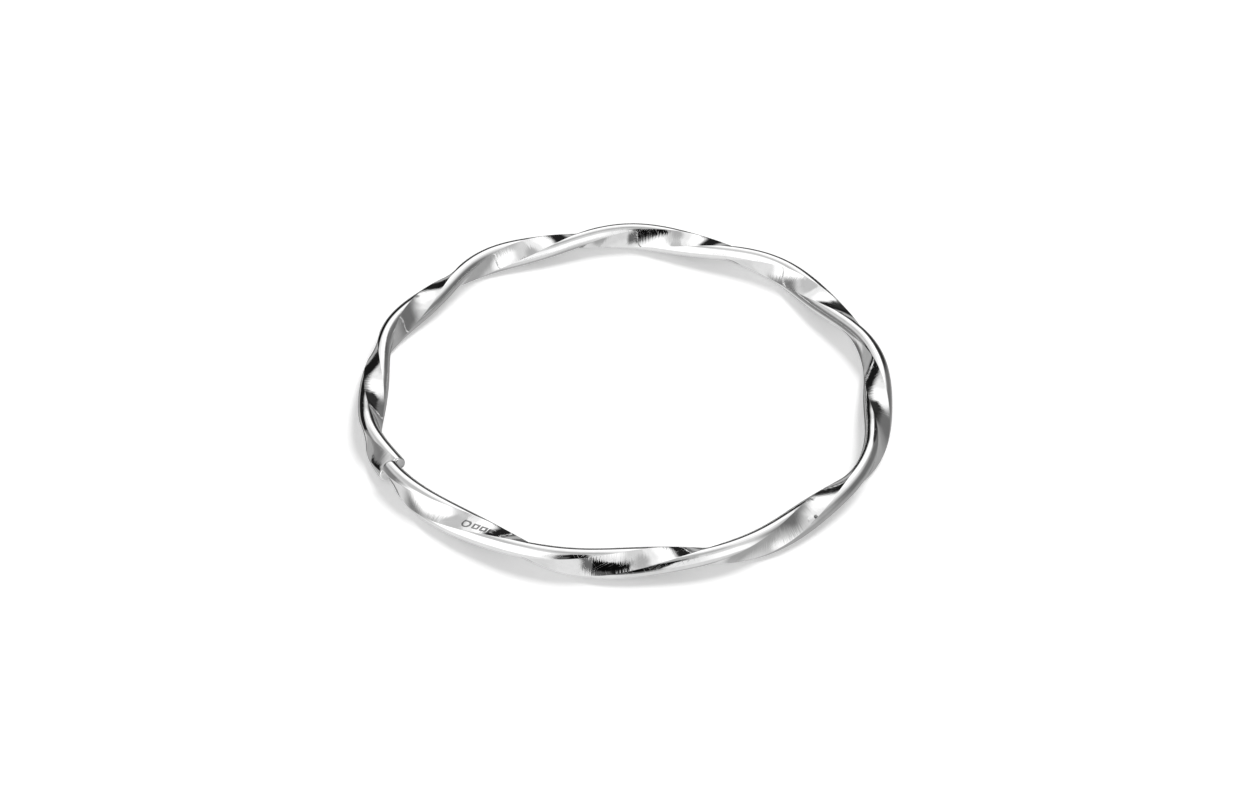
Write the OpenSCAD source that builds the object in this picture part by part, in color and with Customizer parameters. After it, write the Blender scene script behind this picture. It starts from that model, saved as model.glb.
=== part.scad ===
// A slip-on bangle: one flat strip of silver with domed narrow edges, twisted along its length,
// bent into a ring and closed by a flush seam where its two ends meet at different leans.
// Millimetres. The ring lies flat, its axis is Z, and the lowest points of the strip are at z = 0.
// Places round the ring are angles from +X, counter-clockwise as seen from above.

/* [Ring] */
// Radius of the ring, measured to the middle of the strip
ring_r = 32.5; // [28:0.5:38]
// How far the middle of the strip draws in where it lies flat, and out where it stands up
ring_wave = 0.33; // [0:0.01:0.6]
// How far the ring bulges out at three even places, and draws in between them
ring_bulge = 0.165; // [0:0.005:0.3]
// One of those three places
ring_bulge_at = -31; // [-60:1:60]

/* [Strip] */
// Width of the strip, from one narrow edge to the other
strip_w = 3.7; // [3:0.1:5]
// Thickness of the strip between its two wide faces
strip_t = 1.92; // [1.5:0.01:2.5]
// Height of the dome on each narrow edge
edge_dome = 0.62; // [0.2:0.01:0.7]

/* [Twist] */
// Turns that the strip makes about itself in one turn of the ring
twist_turns = 4.7; // [2:0.1:7]
// Lean of the strip at +X, from lying flat, when the twist is even
twist_lean = 28; // [0:0.1:180]
// Most that the twist runs ahead or behind, once round the ring
twist_drift = 12.9; // [0:0.1:25]
// Where the drift is nil and the twist is tightest
twist_drift_at = 100; // [-180:0.5:180]
// Most that the twist sways from that drift, twice round the ring
twist_sway = 6.4; // [0:0.1:8]
// Where the sway is nil and the twist is tightest
twist_sway_at = 140; // [-180:1:180]
// Most that the twist flutters from both, three times round the ring
twist_flutter = 2.3; // [0:0.1:4]
// Where the flutter is nil and the twist is tightest
twist_flutter_at = 39.4; // [-180:0.1:180]

/* [Seam] */
// Where the two ends of the strip meet
seam_at = -150.5; // [-180:0.5:180]
// Stretch before the seam in which the last end springs away from the even ring
end_reach = 24.5; // [10:0.5:60]
// How far the last end is turned on at the seam
end_turn = 20.4; // [0:0.1:30]
// How far the last end stands out at the seam
end_out = 0.29; // [0:0.01:0.8]

/* [Fineness] */
// Steps round the ring
ring_steps = 264; // [120:12:300]
// Steps across each domed edge
dome_steps = 6; // [4:2:8]
// Steps across each wide face
face_steps = 4; // [2:2:6]

/* [Hidden] */

// Length of the solder between the two ends
seam_gap = 0.06;
seam_turn = seam_gap / ring_r * 180 / PI;
spine_z = strip_w / 2;
face_half = strip_w / 2 - edge_dome;
dome_r = (pow(strip_t / 2, 2) + pow(edge_dome, 2)) / (2 * edge_dome);
dome_half = asin(strip_t / 2 / dome_r);

// Outline of the strip, with its width along x: two domes joined by two flat faces
function dome(side) = [for (i = [0:dome_steps]) let (g = side * dome_half * (2 * i / dome_steps - 1))
    [side * (strip_w / 2 - dome_r + dome_r * cos(g)), dome_r * sin(g)]];
function face(side) = [for (i = [1:face_steps - 1])
    [side * face_half * (1 - 2 * i / face_steps), side * strip_t / 2]];
outline = concat(dome(1), face(1), dome(-1), face(-1));
sides = len(outline);

// How near place a is to the last end: 1 at the seam, easing off to 0 at the start of the sprung stretch
function near_end(a) = let (n = max(0, 1 - (seam_at + 360 - a) / end_reach)) n * n * (3 - 2 * n);

// Lean of the strip at place a: 0 lies flat and 90 stands up. From 0 to 90 its outer edge is the higher one,
// and from 90 to 180 its inner edge.
function lean(a) = twist_lean + twist_turns * a + twist_drift * sin(a - twist_drift_at)
    + twist_sway * sin(2 * (a - twist_sway_at)) + twist_flutter * sin(3 * (a - twist_flutter_at))
    + end_turn * near_end(a);
function spine(a) = ring_r - ring_wave * cos(2 * lean(a)) + ring_bulge * cos(3 * (a - ring_bulge_at))
    + end_out * near_end(a);

// A point p of the outline, set on the ring at place a
function on_ring(a, p) = let (t = lean(a), r = spine(a) + p.x * cos(t) - p.y * sin(t))
    [r * cos(a), r * sin(a), spine_z + p.x * sin(t) + p.y * cos(t)];

// Rings of outline points from end to end of the strip, and the walls between neighbours. Ring n meets
// ring 0 at the seam, each point with the one nearest to it by quarters of the outline.
rings = [for (i = [0:ring_steps]) let (a = seam_at + (360 - seam_turn) * i / ring_steps)
    [for (p = outline) on_ring(a, p)]];
seam_quarters = round((lean(seam_at + 360 - seam_turn) - lean(seam_at)) / 90);
seam_shift = seam_quarters * sides / 4;
function wall(i, j) = let (last = i == ring_steps, next = last ? 0 : (i + 1) * sides,
        shift = last ? seam_shift : 0, k = j + 1,
        a = i * sides + j, b = i * sides + k % sides,
        c = next + (j + shift) % sides, d = next + (k + shift) % sides)
    [[a, c, b], [b, c, d]];

module bangle() {
    walls = [for (i = [0:ring_steps], j = [0:sides - 1]) each wall(i, j)];
    color("silver") polyhedron([for (r = rings) each r], walls);
}

bangle();
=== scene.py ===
"""A slip-on silver bangle lying in a light tent: one flat strip with domed narrow edges, twisted, bent
into a ring and soldered where its two ends meet at different leans."""
import math

import bmesh
import bpy
from mathutils import Matrix, Vector


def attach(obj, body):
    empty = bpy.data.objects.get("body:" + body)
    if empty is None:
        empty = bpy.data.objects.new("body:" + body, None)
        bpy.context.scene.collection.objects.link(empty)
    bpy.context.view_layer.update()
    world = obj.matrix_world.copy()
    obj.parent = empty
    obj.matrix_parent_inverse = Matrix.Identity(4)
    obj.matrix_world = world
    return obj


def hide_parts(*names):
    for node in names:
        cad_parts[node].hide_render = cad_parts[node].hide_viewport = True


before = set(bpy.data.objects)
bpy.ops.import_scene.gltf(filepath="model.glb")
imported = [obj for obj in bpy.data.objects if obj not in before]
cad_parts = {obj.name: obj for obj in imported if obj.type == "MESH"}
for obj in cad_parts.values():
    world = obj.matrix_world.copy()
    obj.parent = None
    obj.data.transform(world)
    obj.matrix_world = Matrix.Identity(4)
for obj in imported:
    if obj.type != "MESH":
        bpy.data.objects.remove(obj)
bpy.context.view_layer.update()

# One millimetre, in Blender's metres
MM = 0.001

# Sizes in millimetres and angles in degrees, as in the part's own source
STRIP = {
    "Ring radius": 32.5, "Ring wave": 0.33, "Ring bulge": 0.165, "Ring bulge at": -31.0,
    "Width": 3.7, "Thickness": 1.92, "Edge dome": 0.62, "Ridge radius": 0.13, "End rounding": 0.2,
    "Twist turns": 4.7, "Twist lean": 28.0, "Twist drift": 12.9, "Twist drift at": 100.0,
    "Twist sway": 6.4, "Twist sway at": 140.0, "Twist flutter": 2.3, "Twist flutter at": 39.4,
    "Seam at": -150.5, "Seam gap": 0.06, "End reach": 24.5, "End turn": 20.4, "End out": 0.29,
}
# Steps of the mesh: along the strip, round each end, and in each quarter of its outline
ALONG, END_ROWS, DOME_STEPS, RIDGE_STEPS, FACE_STEPS = 1400, 4, 6, 3, 4
# Points that are nearer than this, in metres, are joined where the outline and the two ends close
WELD = 1e-7

# The drop of solder: its radius across the strip, as a share of the strip's thickness, and how far it is
# sunk into each end, as a share of the end's rounding
DROP_RADIUS, DROP_SUNK = 0.46, 0.6

# The photograph's camera: how far it stands from the middle of the ring, how high, and its slight turn
CAMERA = {"distance": 0.3277, "height_deg": 39.73, "turn_deg": 0.68, "lens_mm": 73.71, "sensor_mm": 36}
# The photograph's size, and where the middle of the ring lies in it, both in pixels
FRAME_PX = (1250, 800)
RING_PX = (625.78, 388.79)


class Wire:
    """A node socket that can be used in sums, so that a rule reads as it would on paper."""

    def __init__(self, tree, socket):
        self.tree, self.socket = tree, socket

    def math(self, operation, *others, clamp=False):
        """Adds a Math node with this wire first, and returns the wire that comes out of it."""
        node = self.tree.nodes.new("ShaderNodeMath")
        node.operation, node.use_clamp = operation, clamp
        for i, value in enumerate((self, *others)):
            plug(self.tree, value, node.inputs[i])
        return Wire(self.tree, node.outputs[0])

    def __add__(self, other): return self.math("ADD", other)
    def __sub__(self, other): return self.math("SUBTRACT", other)
    def __rsub__(self, other): return (self * -1) + other
    def __mul__(self, other): return self.math("MULTIPLY", other)
    def __truediv__(self, other): return self.math("DIVIDE", other)
    def sin(self): return self.math("SINE")
    def cos(self): return self.math("COSINE")
    def root(self): return self.math("SQRT")
    def radians(self): return self * (math.pi / 180)
    def share(self): return self.math("MULTIPLY", 1.0, clamp=True)


def plug(tree, value, socket):
    """Puts a wire, an output socket or a plain value into a socket."""
    if isinstance(value, Wire):
        tree.links.new(value.socket, socket)
    elif isinstance(value, bpy.types.NodeSocket):
        tree.links.new(value, socket)
    else:
        socket.default_value = value


def add_node(tree, kind, inputs=None, **settings):
    """Adds a node, makes its settings and fills its inputs, which are named or numbered."""
    node = tree.nodes.new(kind)
    for name, value in settings.items():
        setattr(node, name, value)
    for name, value in (inputs or {}).items():
        plug(tree, value, node.inputs[name])
    return node


def new_tree(name, kind, inputs, outputs):
    """A node tree with named inputs (name: default or socket type) and outputs (name: socket type)."""
    tree = bpy.data.node_groups.new(name, kind)
    for label, default in inputs.items():
        if isinstance(default, str):
            tree.interface.new_socket(label, in_out="INPUT", socket_type=default)
        else:
            socket = tree.interface.new_socket(label, in_out="INPUT", socket_type="NodeSocketFloat")
            socket.default_value = default
    for label, socket_type in outputs.items():
        tree.interface.new_socket(label, in_out="OUTPUT", socket_type=socket_type)
    entry, exit_ = tree.nodes.new("NodeGroupInput"), tree.nodes.new("NodeGroupOutput")
    return tree, {label: Wire(tree, entry.outputs[label]) for label in inputs}, exit_


def twisted_strip_tree(polished, filed):
    """Lays a grid of points round the ring by the strip's rule: its columns follow the outline of the
    strip and its rows follow the ring. The first and last rows close the two ends."""
    tree, size, exit_ = new_tree("twisted strip", "GeometryNodeTree", STRIP, {"Mesh": "NodeSocketGeometry"})
    quarter = DOME_STEPS + RIDGE_STEPS + FACE_STEPS
    columns, last_row = 4 * quarter + 1, ALONG + 2 * END_ROWS + 2
    grid = add_node(tree, "GeometryNodeMeshGrid", {
        "Size X": 1.0, "Size Y": 1.0, "Vertices X": last_row + 1, "Vertices Y": columns})
    index = Wire(tree, add_node(tree, "GeometryNodeInputIndex").outputs[0])
    row = (index / columns).math("FLOOR")
    column = index - row * columns

    # Outline of the strip: a dome, a rounded ridge and a flat face in each quarter
    step = column.math("PINGPONG", float(quarter))
    round_turn = column * (2 * math.pi / (4 * quarter))
    side_x, side_y = round_turn.cos().math("SIGN"), round_turn.sin().math("SIGN")
    half_t, ridge = size["Thickness"] * 0.5, size["Ridge radius"]
    dome = (half_t * half_t + size["Edge dome"] * size["Edge dome"]) / (size["Edge dome"] * 2)
    dome_x, ridge_y = size["Width"] * 0.5 - dome, half_t - ridge
    reach = dome - ridge
    ridge_x = dome_x + (reach * reach - ridge_y * ridge_y).root()
    dome_turn = ridge_y.math("ARCTAN2", ridge_x - dome_x)
    on_dome = step.math("LESS_THAN", DOME_STEPS + 0.5)
    along_dome = (step / DOME_STEPS).share()
    along_ridge = ((step - DOME_STEPS) / RIDGE_STEPS).share()
    along_face = ((step - DOME_STEPS - RIDGE_STEPS) / FACE_STEPS).share()
    turn = dome_turn * along_dome + (math.pi / 2 - dome_turn) * along_ridge
    bend = on_dome * reach + ridge
    flat_x = ridge_x * (1 - along_face)
    normal_x, normal_y = side_x * turn.cos(), side_y * turn.sin()
    x = side_x * (flat_x + on_dome * (dome_x - flat_x)) + normal_x * bend
    y = side_y * (ridge_y - on_dome * ridge_y) + normal_y * bend

    # Rounded ends: the outline draws in over the last few rows, and the very last row is one point
    rows_in = row.math("MINIMUM", last_row - row)
    end_turn = ((rows_in - 1) / END_ROWS).share() * (math.pi / 2)
    draw_in = size["End rounding"] * (1 - end_turn.sin())
    shut = rows_in.share()
    x, y = (x - normal_x * draw_in) * shut, (y - normal_y * draw_in) * shut
    degrees_per_mm = size["Ring radius"].math("POWER", -1.0) * (180 / math.pi)
    start = size["Seam at"] + size["End rounding"] * degrees_per_mm
    sweep = 360 - (size["Seam gap"] + size["End rounding"] * 2) * degrees_per_mm
    along = ((row - END_ROWS - 1) / ALONG).share()
    outwards = (row - last_row / 2).math("SIGN")
    place = start + sweep * along + outwards * end_turn.cos() * size["End rounding"] * degrees_per_mm

    # Lean of the strip at each place, how far out it runs, and the last end, which springs away from both
    nearness = (1 - (size["Seam at"] + 360 - place) / size["End reach"]).share()
    near_end = nearness * nearness * (3 - nearness * 2)
    lean = (size["Twist lean"] + size["Twist turns"] * place
            + size["Twist drift"] * (place - size["Twist drift at"]).radians().sin()
            + size["Twist sway"] * ((place - size["Twist sway at"]) * 2).radians().sin()
            + size["Twist flutter"] * ((place - size["Twist flutter at"]) * 3).radians().sin()
            + size["End turn"] * near_end).radians()
    spine = (size["Ring radius"] - size["Ring wave"] * (lean * 2).cos() + size["End out"] * near_end
             + size["Ring bulge"] * ((place - size["Ring bulge at"]) * 3).radians().cos())
    out = spine + x * lean.cos() - y * lean.sin()
    height = size["Width"] * 0.5 + x * lean.sin() + y * lean.cos()
    where = add_node(tree, "ShaderNodeCombineXYZ", {
        "X": out * place.radians().cos() * MM, "Y": out * place.radians().sin() * MM, "Z": height * MM})
    placed = add_node(tree, "GeometryNodeSetPosition", {
        "Geometry": grid.outputs["Mesh"], "Position": where.outputs[0]})

    # Millimetres along and round the strip for its finish. They are kept at the corners of the faces,
    # because a point on the outline's closing line has two values.
    ridge_arc = (math.pi / 2 - dome_turn) * ridge
    arc = dome_turn * dome * along_dome + ridge_arc * along_ridge + ridge_x * along_face
    half_round = (dome_turn * dome + ridge_arc + ridge_x) * 2
    turned_back = column.math("MODULO", 2.0 * quarter).math("LESS_THAN", quarter - 0.5) * 2 - 1
    halves = ((column + quarter) / (2 * quarter)).math("FLOOR")
    onward = along * size["Ring radius"] * (2 * math.pi)
    strip_map = plane(tree, onward, half_round * halves + turned_back * arc)
    at_points = add_node(tree, "GeometryNodeFieldOnDomain", data_type="FLOAT_VECTOR", domain="POINT")
    plug(tree, strip_map, at_points.inputs[0])
    shape = add_node(tree, "GeometryNodeStoreNamedAttribute", {
        "Geometry": placed.outputs[0], "Name": "strip", "Value": at_points.outputs[0]},
        data_type="FLOAT2", domain="CORNER")

    # Where a point lies on a flat face, how far across the strip, on which side of it, and on a cut end
    on_face = ((step - DOME_STEPS - RIDGE_STEPS * 0.5) / (RIDGE_STEPS * 0.5)).share() * end_turn.sin()
    on_cut = rows_in.math("LESS_THAN", 1.5)
    for name, value in (("face", on_face), ("across", x), ("side", side_y), ("cut", on_cut)):
        shape = add_node(tree, "GeometryNodeStoreNamedAttribute", {
            "Geometry": shape.outputs[0], "Name": name, "Value": value}, data_type="FLOAT", domain="POINT")
    welded = add_node(tree, "GeometryNodeMergeByDistance", {"Geometry": shape.outputs[0], "Distance": WELD})
    smooth = add_node(tree, "GeometryNodeSetShadeSmooth", {"Geometry": welded.outputs[0]})
    real = add_node(tree, "GeometryNodeRealizeInstances", {"Geometry": smooth.outputs[0]})
    dressed = add_node(tree, "GeometryNodeSetMaterial", {"Geometry": real.outputs[0], "Material": polished})
    cut = add_node(tree, "GeometryNodeInputNamedAttribute", {"Name": "cut"}, data_type="FLOAT")
    cut_faces = add_node(tree, "FunctionNodeCompare", {
        "A": cut.outputs[0], "B": 0.99}, operation="GREATER_THAN")
    ends = add_node(tree, "GeometryNodeSetMaterial", {
        "Geometry": dressed.outputs[0], "Selection": cut_faces.outputs[0], "Material": filed})
    plug(tree, ends.outputs[0], exit_.inputs["Mesh"])
    return tree


def from_tree(name, tree, values):
    """Runs a Geometry Nodes tree on an empty mesh and keeps the result as a plain mesh."""
    carrier = bpy.data.objects.new(name, bpy.data.meshes.new(name))
    bpy.context.scene.collection.objects.link(carrier)
    nodes = carrier.modifiers.new(name, "NODES")
    nodes.node_group = tree
    for item in tree.interface.items_tree:
        if item.item_type == "SOCKET" and item.in_out == "INPUT":
            nodes[item.identifier] = values[item.name]
    made = bpy.data.meshes.new_from_object(carrier.evaluated_get(bpy.context.evaluated_depsgraph_get()))
    carrier.modifiers.remove(nodes)
    carrier.data = made
    made.name = name
    return carrier


def solder_joint(material):
    """A drop of solder in the gap between the two ends, sunk a little into both."""
    mesh = bpy.data.meshes.new("solder_joint")
    shape = bmesh.new()
    bmesh.ops.create_uvsphere(shape, u_segments=48, v_segments=24, radius=1)
    half_gap = STRIP["Seam gap"] / 2
    radius, deep = STRIP["Thickness"] * DROP_RADIUS, half_gap + STRIP["End rounding"] * DROP_SUNK
    middle = math.radians(STRIP["Seam at"]) - half_gap / STRIP["Ring radius"]
    out = STRIP["Ring radius"] + STRIP["Ring bulge"] + STRIP["End out"] / 2
    place = (Matrix.Rotation(middle, 4, "Z") @ Matrix.Translation((out, 0, STRIP["Width"] / 2))
             @ Matrix.Diagonal((radius, deep, radius, 1)))
    bmesh.ops.transform(shape, matrix=Matrix.Scale(MM, 4) @ place, verts=shape.verts)
    for face in shape.faces:
        face.smooth = True
    shape.to_mesh(mesh)
    shape.free()
    mesh.materials.append(material)
    drop = bpy.data.objects.new("solder_joint", mesh)
    bpy.context.scene.collection.objects.link(drop)
    return drop


def plane(tree, x, y):
    """A place in a plane."""
    return Wire(tree, add_node(tree, "ShaderNodeCombineXYZ", {"X": x, "Y": y}).outputs[0])


def noise(tree, where, detail=2.0, flat=True):
    """Brightness of a noise pattern, 0.5 on average, with cells of one unit in a plane or in space."""
    node = add_node(tree, "ShaderNodeTexNoise", {"Vector": where, "Scale": 1.0, "Detail": detail},
                    noise_dimensions="2D" if flat else "3D")
    return Wire(tree, node.outputs[0])


def enlarge(tree, where, times):
    """A place in space, moved away from the middle."""
    node = add_node(tree, "ShaderNodeVectorMath", {0: where, "Scale": times}, operation="SCALE")
    return Wire(tree, node.outputs[0])


def ramp(tree, value, low, high):
    """0 below low and 1 above high, or the other way round, with soft corners."""
    node = add_node(tree, "ShaderNodeMapRange", {"Value": value, "From Min": low, "From Max": high},
                    interpolation_type="SMOOTHSTEP")
    return Wire(tree, node.outputs[0])


def cross_streaks_tree():
    """Fine ripples side by side along the strip, each running across it, stronger in some patches."""
    tree, given, exit_ = new_tree("cross streaks", "ShaderNodeTree", {
        "Along": 0.0, "Across": 0.0, "Spacing": 0.2, "Length": 1.6, "Depth": 0.008},
        {"Height": "NodeSocketFloat", "Patches": "NodeSocketFloat"})
    patch, weakest = 14, 0.3  # a patch's length in ripples, and the share of depth left between patches
    along, across, spacing, length = (given[name] for name in ("Along", "Across", "Spacing", "Length"))
    ripples = noise(tree, plane(tree, along / spacing, across / length))
    patches = ramp(tree, noise(tree, plane(tree, along / (spacing * patch), across / length)), 0.35, 0.65)
    depth = (patches * (1 - weakest) + weakest) * given["Depth"]
    plug(tree, (ripples - 0.5) * depth, exit_.inputs["Height"])
    plug(tree, patches, exit_.inputs["Patches"])
    return tree


def scratches_tree():
    """Thin straight scratches at an angle to the strip, here and there."""
    tree, given, exit_ = new_tree("scratches", "ShaderNodeTree", {
        "Along": 0.0, "Round": 0.0, "Angle": 30.0, "Spacing": 0.25, "Length": 5.0, "Depth": 0.0015},
        {"Height": "NodeSocketFloat", "Mask": "NodeSocketFloat"})
    thinness, apart = 0.022, 40  # half width of a scratch in the pattern, and a shift to an unlike pattern
    angle = given["Angle"].radians()
    onward = given["Along"] * angle.cos() + given["Round"] * angle.sin()
    aside = given["Round"] * angle.cos() - given["Along"] * angle.sin()
    lines = noise(tree, plane(tree, onward / given["Length"], aside / given["Spacing"]), detail=0.0)
    thin = ramp(tree, (lines - 0.5).math("ABSOLUTE"), thinness, 0.0)
    spots = noise(tree, plane(tree, onward / given["Length"] * 2, aside + apart), detail=1.0)
    mask = thin * ramp(tree, spots, 0.5, 0.6)
    plug(tree, mask, exit_.inputs["Mask"])
    plug(tree, mask * given["Depth"] * -1, exit_.inputs["Height"])
    return tree


def unevenness_tree():
    """The slow waviness that hand polishing leaves, and a cloud of duller and brighter spots."""
    tree, given, exit_ = new_tree("polishing unevenness", "ShaderNodeTree", {
        "Position": "NodeSocketVector", "Size": 2 * MM, "Depth": 0.03},
        {"Height": "NodeSocketFloat", "Cloud": "NodeSocketFloat"})
    finer = 2.6  # the cloud's spots are this many times smaller than the waves
    where = enlarge(tree, given["Position"], given["Size"].math("POWER", -1.0))
    waves = noise(tree, where, detail=0.0, flat=False)
    cloud = noise(tree, enlarge(tree, where, finer), detail=3.0, flat=False)
    plug(tree, (waves - 0.5) * given["Depth"], exit_.inputs["Height"])
    plug(tree, ramp(tree, cloud, 0.3, 0.7), exit_.inputs["Cloud"])
    return tree


def pressed_shape_tree():
    """A shape with round corners pressed into one side of the strip, with painted shade in its hollow: middle
    and half sizes in mm.
    """
    tree, given, exit_ = new_tree("pressed shape", "ShaderNodeTree", {
        "Along": 0.0, "Across": 0.0, "Middle along": 0.0, "Middle across": 0.0, "Half length": 0.5,
        "Half width": 0.5, "Corner": 0.1, "Edge": 0.1, "Depth": 0.03, "Painted shade": 0.0},
        {"Height": "NodeSocketFloat", "Painted shade": "NodeSocketFloat"})
    corner = given["Corner"]
    out_x = (given["Along"] - given["Middle along"]).math("ABSOLUTE") - given["Half length"] + corner
    out_y = (given["Across"] - given["Middle across"]).math("ABSOLUTE") - given["Half width"] + corner
    far_x, far_y = out_x.math("MAXIMUM", 0.0), out_y.math("MAXIMUM", 0.0)
    within = out_x.math("MAXIMUM", out_y).math("MINIMUM", 0.0)
    outside = (far_x * far_x + far_y * far_y).root() + within - corner
    inside = ramp(tree, outside / given["Edge"], 0.5, -0.5)
    plug(tree, inside * given["Depth"] * -1, exit_.inputs["Height"])
    # Painted shade: the hollow is darkened by the given share, standing in for the shade that falls in it
    plug(tree, inside * given["Painted shade"], exit_.inputs["Painted shade"])
    return tree


# Blank punches in the inner face, each an outline pressed in: its middle, in millimetres from the seam
# along the strip and from the strip's middle line, and the half length, half width and corner of the
# outline's outer and inner edge
PUNCHES = [
    (14.1, -0.2, (0.58, 0.5, 0.48), (0.4, 0.32, 0.31)),
    (15.4, -0.22, (0.4, 0.4, 0.08), (0.23, 0.23, 0.03)),
    (16.45, -0.26, (0.4, 0.4, 0.08), (0.23, 0.23, 0.03)),
    (17.5, -0.3, (0.4, 0.4, 0.08), (0.23, 0.23, 0.03)),
]
PUNCH_EDGE, PUNCH_DEPTH = 0.1, 0.06
# A small dent from wear, darkened with painted shade, and the low swelling round it
DENT = [
    # middle along, middle across, half length, half width, corner, edge, depth, painted shade
    (58.9, -1.02, 0.2, 0.17, 0.16, 0.14, 0.14, 1.0),
    (58.2, -0.98, 0.5, 0.36, 0.34, 0.5, -0.05, 0.0),
]


def grey(shade):
    """An opaque grey."""
    return (shade, shade, shade, 1.0)


def use(tree, group, inputs):
    """Places a shared effect in a material and returns what it puts out, by name."""
    node = add_node(tree, "ShaderNodeGroup", inputs, node_tree=group)
    return {socket.name: Wire(tree, socket) for socket in node.outputs}


def carried(tree, name, output="Fac"):
    """A value that the strip's mesh carries."""
    return Wire(tree, add_node(tree, "ShaderNodeAttribute", attribute_name=name).outputs[output])


def position(tree):
    """The point being shaded, in metres from the middle of the ring, on the floor."""
    return add_node(tree, "ShaderNodeTexCoord").outputs["Object"]


def mixed_colour(tree, share, first, second):
    """The first colour where the share is 0, and the second where it is 1."""
    node = add_node(tree, "ShaderNodeMix", {0: share, 6: first, 7: second}, data_type="RGBA")
    return Wire(tree, node.outputs[2])


def metal(name, dull, bright, unevenness):
    """A metal between two shades, duller in a slow cloud: its material, its tree, its colour, and the
    waves and cloud that every finish here has."""
    material = bpy.data.materials.new(name)
    material.use_nodes = True
    tree = material.node_tree
    tree.nodes["Principled BSDF"].inputs["Metallic"].default_value = 1
    slow = use(tree, unevenness, {"Position": position(tree), "Size": 2.6 * MM, "Depth": 0.04})
    return material, tree, mixed_colour(tree, slow["Cloud"], dull, bright), slow


def surface(tree, colour, roughness, height):
    """Gives a metal its colour, its roughness and its relief in millimetres."""
    shader = tree.nodes["Principled BSDF"]
    bump = add_node(tree, "ShaderNodeBump", {"Strength": 1.0, "Distance": MM, "Height": height})
    for name, value in (("Base Color", colour), ("Roughness", roughness), ("Normal", bump.outputs[0])):
        plug(tree, value, shader.inputs[name])


def polished_silver(streaks, scratches, unevenness):
    """The strip's mirror polish, with ripples on its flat faces, fine scratches, punches and a dent, and
    painted shade in the punches' grooves and the dent.
    """
    # The polish's roughness, and what the cloud, the ripples and the scratches add to it
    polish, clouded, rippled, scratched = 0.045, -0.02, 0.02, 0.08
    on_domes = 0.08  # depth of the ripples on the domes, as a share of that on the faces
    painted_shade_colour, covers = grey(0.03), 0.7  # the painted shade's colour, and how much of the silver it hides in the punches' grooves and the dent
    material, tree, colour, slow = metal("polished_silver", grey(0.91), grey(0.95), unevenness)
    strip_map = add_node(tree, "ShaderNodeSeparateXYZ", {"Vector": carried(tree, "strip", "Vector")})
    along, round_ = Wire(tree, strip_map.outputs[0]), Wire(tree, strip_map.outputs[1])
    face, across, side = carried(tree, "face"), carried(tree, "across"), carried(tree, "side")
    ripples = use(tree, streaks, {
        "Along": along, "Across": across, "Spacing": 0.2, "Length": 1.6, "Depth": 0.013})
    one, two = (use(tree, scratches, {
        "Along": along, "Round": round_, "Angle": angle, "Spacing": spacing, "Length": length})
        for angle, spacing, length in ((24.0, 0.3, 7.0), (-61.0, 0.4, 5.0)))
    height = (slow["Height"] + ripples["Height"] * (face * (1 - on_domes) + on_domes)
              + one["Height"] + two["Height"])

    # What is pressed into the inner face: a punch is its outer shape pressed in and its inner one raised, and
    # its painted shade lies only in the groove between them
    inner_face = ramp(tree, side, -0.5, -0.9) * face
    shapes = []
    for middle_along, middle_across, outer, inner in PUNCHES:
        shapes.append((middle_along, middle_across, *outer, PUNCH_EDGE, PUNCH_DEPTH, 1.0))
        shapes.append((middle_along, middle_across, *inner, PUNCH_EDGE, -PUNCH_DEPTH, -1.0))
    pressed, painted_shade = pressed_shape_tree(), 0.0
    labels = ("Middle along", "Middle across", "Half length", "Half width", "Corner", "Edge", "Depth",
              "Painted shade")
    for values in shapes + DENT:
        shape = use(tree, pressed, {"Along": along, "Across": across, **dict(zip(labels, values))})
        height = height + shape["Height"] * inner_face
        painted_shade = shape["Painted shade"] + painted_shade
    # Painted shade: near black laid over the silver in the punches' grooves and the dent, standing in for the
    # shade in these hollows
    colour = mixed_colour(tree, (painted_shade * inner_face).share() * covers, colour, painted_shade_colour)
    roughness = (slow["Cloud"] * clouded + ripples["Patches"] * face * rippled
                 + (one["Mask"] + two["Mask"]) * scratched + polish)
    surface(tree, colour, roughness, height)
    return material


def filed_silver(streaks, unevenness):
    """The strip's cut ends, with the lines of the file."""
    filed, clouded, lined = 0.2, -0.08, 0.1  # roughness, and what the cloud and the lines add to it
    material, tree, colour, slow = metal("filed_silver", grey(0.78), grey(0.9), unevenness)
    lines = use(tree, streaks, {
        "Along": carried(tree, "across"), "Across": slow["Cloud"], "Spacing": 0.07, "Length": 3.0,
        "Depth": 0.006})
    roughness = slow["Cloud"] * clouded + lines["Patches"] * lined + filed
    surface(tree, colour, roughness, slow["Height"] + lines["Height"])
    return material


def hard_solder(unevenness):
    """The solder between the ends, greyer and rougher than silver, with small pits."""
    smooth, pitted = 0.25, 0.2  # roughness, and what the pits add to it
    material, tree, colour, slow = metal(
        "hard_solder", (0.6, 0.6, 0.58, 1.0), (0.84, 0.84, 0.83, 1.0), unevenness)
    pits = use(tree, unevenness, {"Position": position(tree), "Size": 0.16 * MM, "Depth": 0.02})
    surface(tree, colour, pits["Cloud"] * pitted + smooth, slow["Height"] + pits["Height"])
    return material


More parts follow.
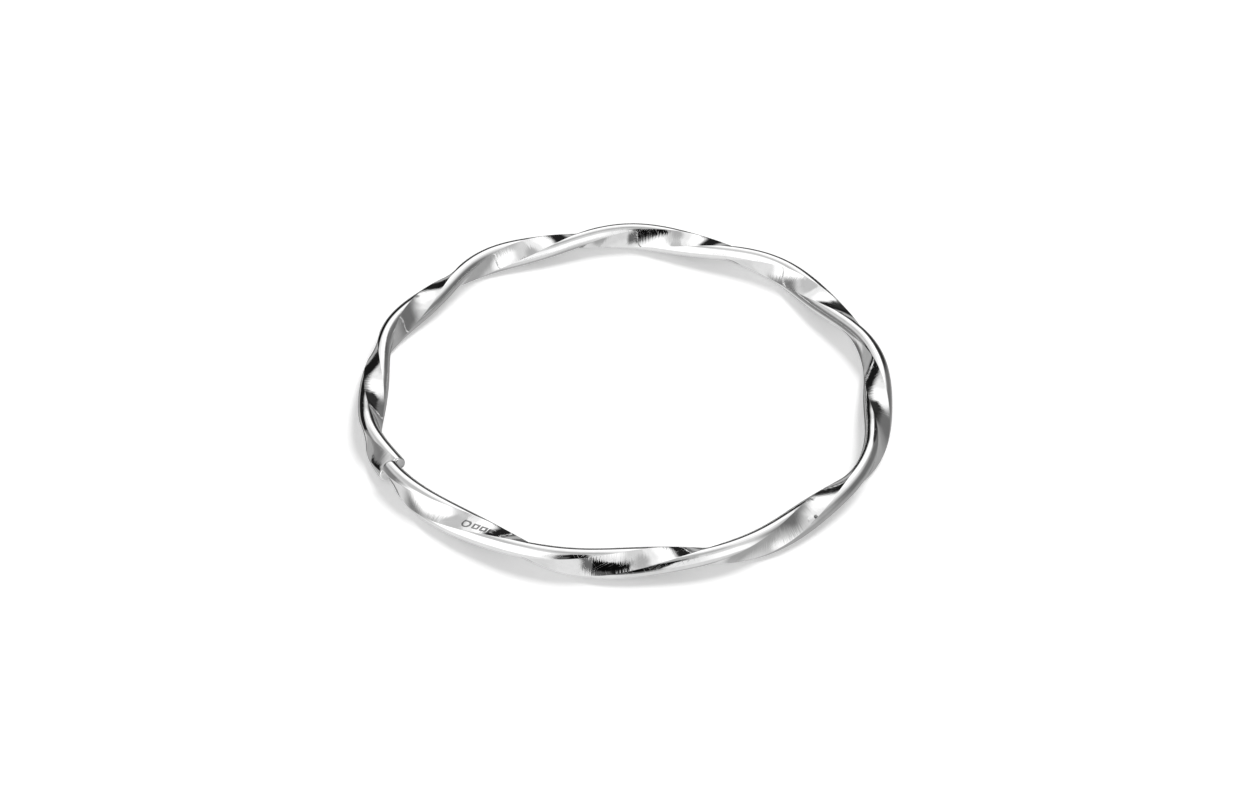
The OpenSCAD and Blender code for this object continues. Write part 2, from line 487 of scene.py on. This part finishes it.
def softbox_tree():
    """One panel of the tent: changes the brightness seen in a stretch of azimuth and height."""
    tree, box, exit_ = new_tree("softbox", "ShaderNodeTree", {
        "Azimuth": 0.0, "Height": 0.0, "Before": 1.0, "Middle": 0.0, "Half width": 20.0,
        "Middle height": 20.0, "Half height": 20.0, "Edge": 3.0, "Brightness": 1.0},
        {"Brightness": "NodeSocketFloat"})
    sideways = (box["Azimuth"] - box["Middle"]).math("WRAP", -180.0, 180.0).math("ABSOLUTE")
    upwards = (box["Height"] - box["Middle height"]).math("ABSOLUTE")
    inside = (ramp(tree, (sideways - box["Half width"]) / box["Edge"], 0.5, -0.5)
              * ramp(tree, (upwards - box["Half height"]) / box["Edge"], 0.5, -0.5))
    seen = box["Before"] + inside * (box["Brightness"] - box["Before"])
    plug(tree, seen, exit_.inputs["Brightness"])
    return tree


# The light tent, as seen from the bangle: azimuth is 0 to the right and 90 to the back, height above
# the floor, all in degrees. Each panel is laid over those before it, and the first over the tent's own
# brightness.
TENT = 0.7
PANELS = [
    # middle, half width, middle height, half height, edge, brightness
    ("lower right", 15, 52, -45, 42, 36, 0.37),
    ("lower left", -140, 50, -35, 36, 24, 0.8),
    ("high back", 78, 55, 54, 26, 16, 0.92),
    ("high back lamp", 80, 28, 44, 14, 14, 1.2),
    ("left front", -146, 28, 20, 40, 18, 1.3),
    ("high left", 158, 26, 54, 16, 12, 0.56),
    ("right front", -58, 26, 20, 34, 14, 0.86),
    ("right front lamp", -49, 16, 20, 26, 22, 1.2),
    ("right side", 22, 38, 16, 30, 34, 0.16),
    ("left back", 168, 18, -4, 30, 22, 0.2),
    ("left back dark", 164, 10, -10, 16, 16, 0.24),
    ("floor at the ring", 94, 34, -34, 16, 8, 0.15),
    ("left back low", 142, 22, -21, 15, 8, 0.4),
    ("floor at the back", 94, 27, -13, 9, 5, 0.45),
    ("back wall", 97, 47, 8.5, 16.5, 12, 0.015),
    ("back wall dark right", 64, 12, 22, 14, 8, 0.03),
    ("back wall dark left", 132, 24, 6.5, 15.5, 4, 0.01),
    ("roof", 0, 180, 90, 14, 16, 0.46),
    ("below camera", -93, 13, -10, 12, 10, 0.15),
    ("beside camera", -104, 5.4, 16, 22, 8, 0.1),
    ("above camera", -86, 10, 64, 14, 6, 0.36),
    ("camera opening left", -102, 7.5, 50, 19, 7, 0.015),
    ("camera opening", -91.25, 10.25, 33, 35, 2.5, 0.003),
]
# Brightness of the tent where the camera looks past the floor, and the share of its light that the floor
# gets, which keeps the shadow as clear as in the photograph
BACKDROP, TENT_ON_FLOOR = 1.1, 0.25

# Lamps above the tent: energy, then in degrees the angle across and how far each stands to the back and
# to the side
LAMPS = [("key_light", 1.8, 26, 20, 24), ("fill_light", 0.7, 110, 0, 0)]

# The floor: half its side in metres, its shade, and a glow that makes it as pale as the photograph's
FLOOR_HALF, FLOOR_SHADE, FLOOR_GLOW = 3.0, 0.88, 0.29


def light_tent():
    """The surroundings: panels for what the metal reflects, plain white for what the camera sees."""
    world = bpy.data.worlds.new("light_tent")
    bpy.context.scene.world = world
    world.use_nodes = True
    tree = world.node_tree
    tree.nodes.clear()
    towards = add_node(tree, "ShaderNodeSeparateXYZ", {
        "Vector": add_node(tree, "ShaderNodeTexCoord").outputs["Generated"]})
    x, y, z = (Wire(tree, towards.outputs[i]) for i in range(3))
    azimuth = y.math("ARCTAN2", x) * (180 / math.pi)
    height = z.math("ARCSINE") * (180 / math.pi)
    group, seen = softbox_tree(), TENT
    labels = ("Middle", "Half width", "Middle height", "Half height", "Edge", "Brightness")
    for name, *values in PANELS:
        panel = add_node(tree, "ShaderNodeGroup", {
            "Azimuth": azimuth, "Height": height, "Before": seen, **dict(zip(labels, map(float, values)))},
            node_tree=group, label=name)
        seen = Wire(tree, panel.outputs[0])
    ray = add_node(tree, "ShaderNodeLightPath").outputs
    strength = seen * (1 - Wire(tree, ray["Is Diffuse Ray"]) * (1 - TENT_ON_FLOOR))
    tent = add_node(tree, "ShaderNodeBackground", {"Color": grey(1.0), "Strength": strength})
    backdrop = add_node(tree, "ShaderNodeBackground", {"Color": grey(1.0), "Strength": BACKDROP})
    mixed = add_node(tree, "ShaderNodeMixShader", {
        0: ray["Is Camera Ray"], 1: tent.outputs[0], 2: backdrop.outputs[0]})
    add_node(tree, "ShaderNodeOutputWorld", {"Surface": mixed.outputs[0]})


def lamps():
    """Soft lamps that light the floor and cast the shadow. The metal doesn't reflect them, but the panels."""
    for name, energy, across, back, side in LAMPS:
        lamp = bpy.data.lights.new(name, "SUN")
        lamp.energy, lamp.angle = energy, math.radians(across)
        sun = bpy.data.objects.new(name, lamp)
        sun.rotation_euler = (math.radians(-back), math.radians(side), 0)
        sun.visible_glossy = False
        bpy.context.scene.collection.objects.link(sun)


def pale_floor():
    """The surface that the bangle lies on. The metal doesn't reflect it, but the tent's lower panels."""
    material = bpy.data.materials.new("pale_floor")
    material.use_nodes = True
    shader = material.node_tree.nodes["Principled BSDF"]
    for name, value in (("Roughness", 0.9), ("Specular IOR Level", 0.0), ("Base Color", grey(FLOOR_SHADE)),
                        ("Emission Color", grey(1.0)), ("Emission Strength", FLOOR_GLOW)):
        shader.inputs[name].default_value = value
    mesh = bpy.data.meshes.new("floor")
    corners = [(x * FLOOR_HALF, y * FLOOR_HALF, 0) for x, y in ((-1, -1), (1, -1), (1, 1), (-1, 1))]
    mesh.from_pydata(corners, [], [(0, 1, 2, 3)])
    mesh.materials.append(material)
    floor = bpy.data.objects.new("floor", mesh)
    bpy.context.scene.collection.objects.link(floor)
    floor.visible_glossy = False


def camera():
    """Sets the camera as it stood for the photograph."""
    aim = Vector((0, 0, STRIP["Width"] / 2 * MM))
    height, turn = math.radians(CAMERA["height_deg"]), math.radians(CAMERA["turn_deg"])
    back = Vector((0, -math.cos(height), math.sin(height)))
    level = Vector((1, 0, 0))
    upright = back.cross(level)
    right = level * math.cos(turn) + upright * math.sin(turn)
    up = upright * math.cos(turn) - level * math.sin(turn)
    data = bpy.data.cameras.new("camera")
    data.lens, data.sensor_width = CAMERA["lens_mm"], CAMERA["sensor_mm"]
    data.shift_x = (FRAME_PX[0] / 2 - RING_PX[0]) / FRAME_PX[0]
    data.shift_y = (RING_PX[1] - FRAME_PX[1] / 2) / FRAME_PX[0]
    data.clip_start, data.clip_end = 0.01, 20
    eye = bpy.data.objects.new("camera", data)
    turned = Matrix((right, up, back)).transposed().to_4x4()
    eye.matrix_world = Matrix.Translation(aim + back * CAMERA["distance"]) @ turned
    bpy.context.scene.collection.objects.link(eye)
    bpy.context.scene.camera = eye


def main():
    """Builds the bangle with its solder, then the tent, the lamps, the floor and the camera."""
    streaks, scratches, unevenness = cross_streaks_tree(), scratches_tree(), unevenness_tree()
    polished, filed = polished_silver(streaks, scratches, unevenness), filed_silver(streaks, unevenness)
    bangle = from_tree("twisted_bangle", twisted_strip_tree(polished, filed), STRIP)
    drop = solder_joint(hard_solder(unevenness))
    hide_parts("bangle")
    for piece in (bangle, drop):
        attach(piece, "root")
    light_tent()
    lamps()
    pale_floor()
    camera()
    bpy.context.scene.view_settings.view_transform = "Standard"


main()
